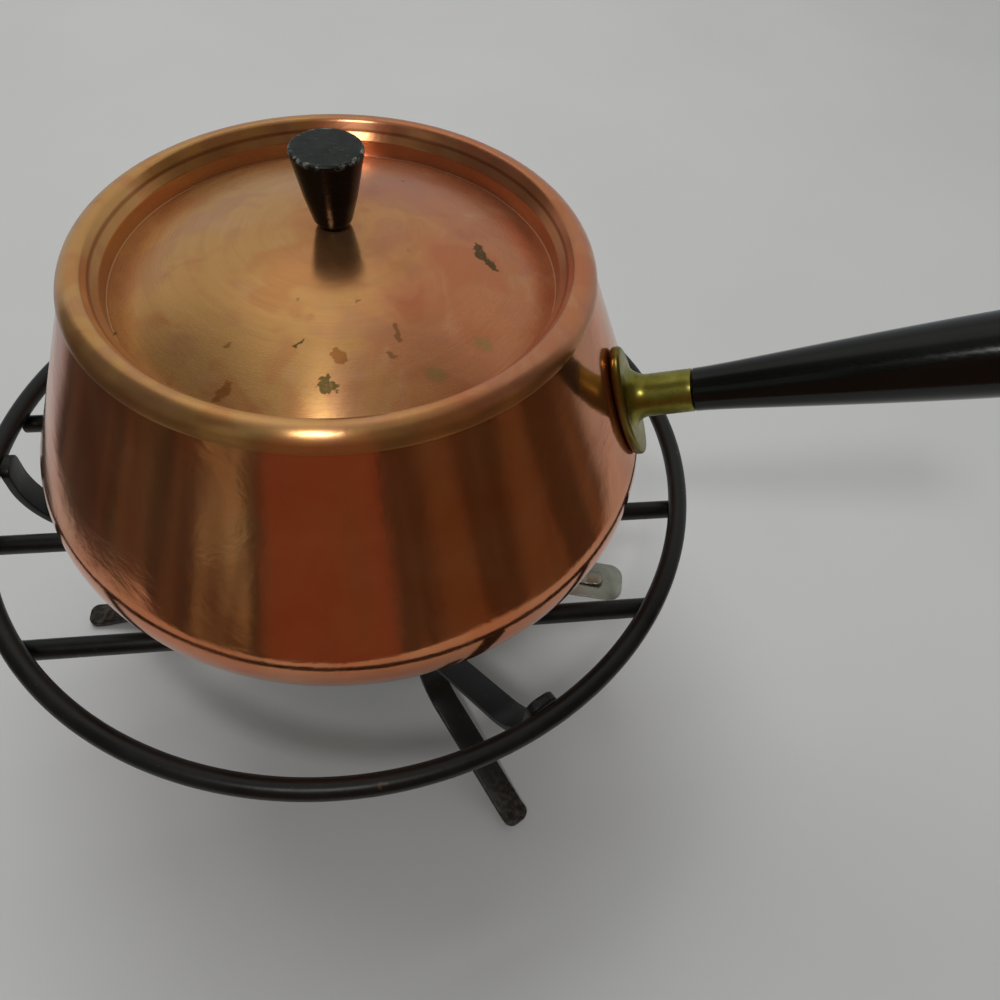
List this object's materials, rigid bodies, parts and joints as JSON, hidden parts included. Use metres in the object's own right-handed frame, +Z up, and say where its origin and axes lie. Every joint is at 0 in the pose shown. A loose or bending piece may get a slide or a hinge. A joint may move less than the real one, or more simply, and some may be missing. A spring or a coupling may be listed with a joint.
{
  "type": "fondue pot",
  "caption": "Copper fondue pot with sunk domed lid and tapering side handle, on a wire-ring stand with bent strap legs and a spirit burner; pot, lid and burner lift off.",
  "frame": {"origin": "middle of the underside of the whole object's box, on the surface that the feet stand on", "axes": "+X from the stand's axis towards the end of the pot's handle, +Z up, +Y to the left of the handle"},
  "size_m": [0.383, 0.2568, 0.2371],
  "materials": {
    "copper": "polished copper with light tarnish spots and fine scratches",
    "brass": "polished brass, slightly dulled",
    "black_paint": "satin black paint on steel",
    "black_grip": "black turned phenolic resin, glossy grip, worn satin knob",
    "steel": "plain bright steel",
    "burner_sheet": "plated steel sheet, satin, lightly scratched",
    "wool": "packed absorbent wool"
  },
  "bodies": {
    "stand": {"stand_ring": "black_paint", "crossbar_1": "black_paint", "crossbar_2": "black_paint", "crossbar_3": "black_paint", "crossbar_4": "black_paint", "leg_1": "black_paint", "leg_2": "black_paint", "leg_3": "black_paint", "burner_hoop": "black_paint"},
    "pot": {"pot_shell": "copper", "handle_ferrule": "brass", "ferrule_rivet_1": "brass", "ferrule_rivet_2": "brass", "handle_stud": "steel", "handle_grip": "black_grip"},
    "lid": {"lid_cover": "copper", "knob": "black_grip", "knob_washer": "steel", "knob_screw": "steel"},
    "burner": {"burner_cup": "burner_sheet", "burner_handle": "burner_sheet", "burner_rivet_1": "steel", "burner_rivet_2": "steel", "burner_cover": "burner_sheet", "fuel_wool": "wool", "gauze_disc": "steel"},
    "regulator": {"regulator": "burner_sheet"}
  },
  "joints": [
    {"name": "pot_lift", "type": "slide", "parent": "stand", "child": "pot", "axis": [0, 0, 1], "range_m": [0, 0.12]},
    {"name": "lid_lift", "type": "slide", "parent": "pot", "child": "lid", "axis": [0, 0, 1], "range_m": [0, 0.08]},
    {"name": "burner_lift", "type": "slide", "parent": "stand", "child": "burner", "axis": [0, 0, 1], "range_m": [0, 0.03]},
    {"name": "regulator_turn", "type": "hinge", "parent": "burner", "child": "regulator", "pos_m": [-0.06314, 0, 0.0513], "axis": [0, 0, 1], "range_deg": [0, 22.5]}
  ]
}
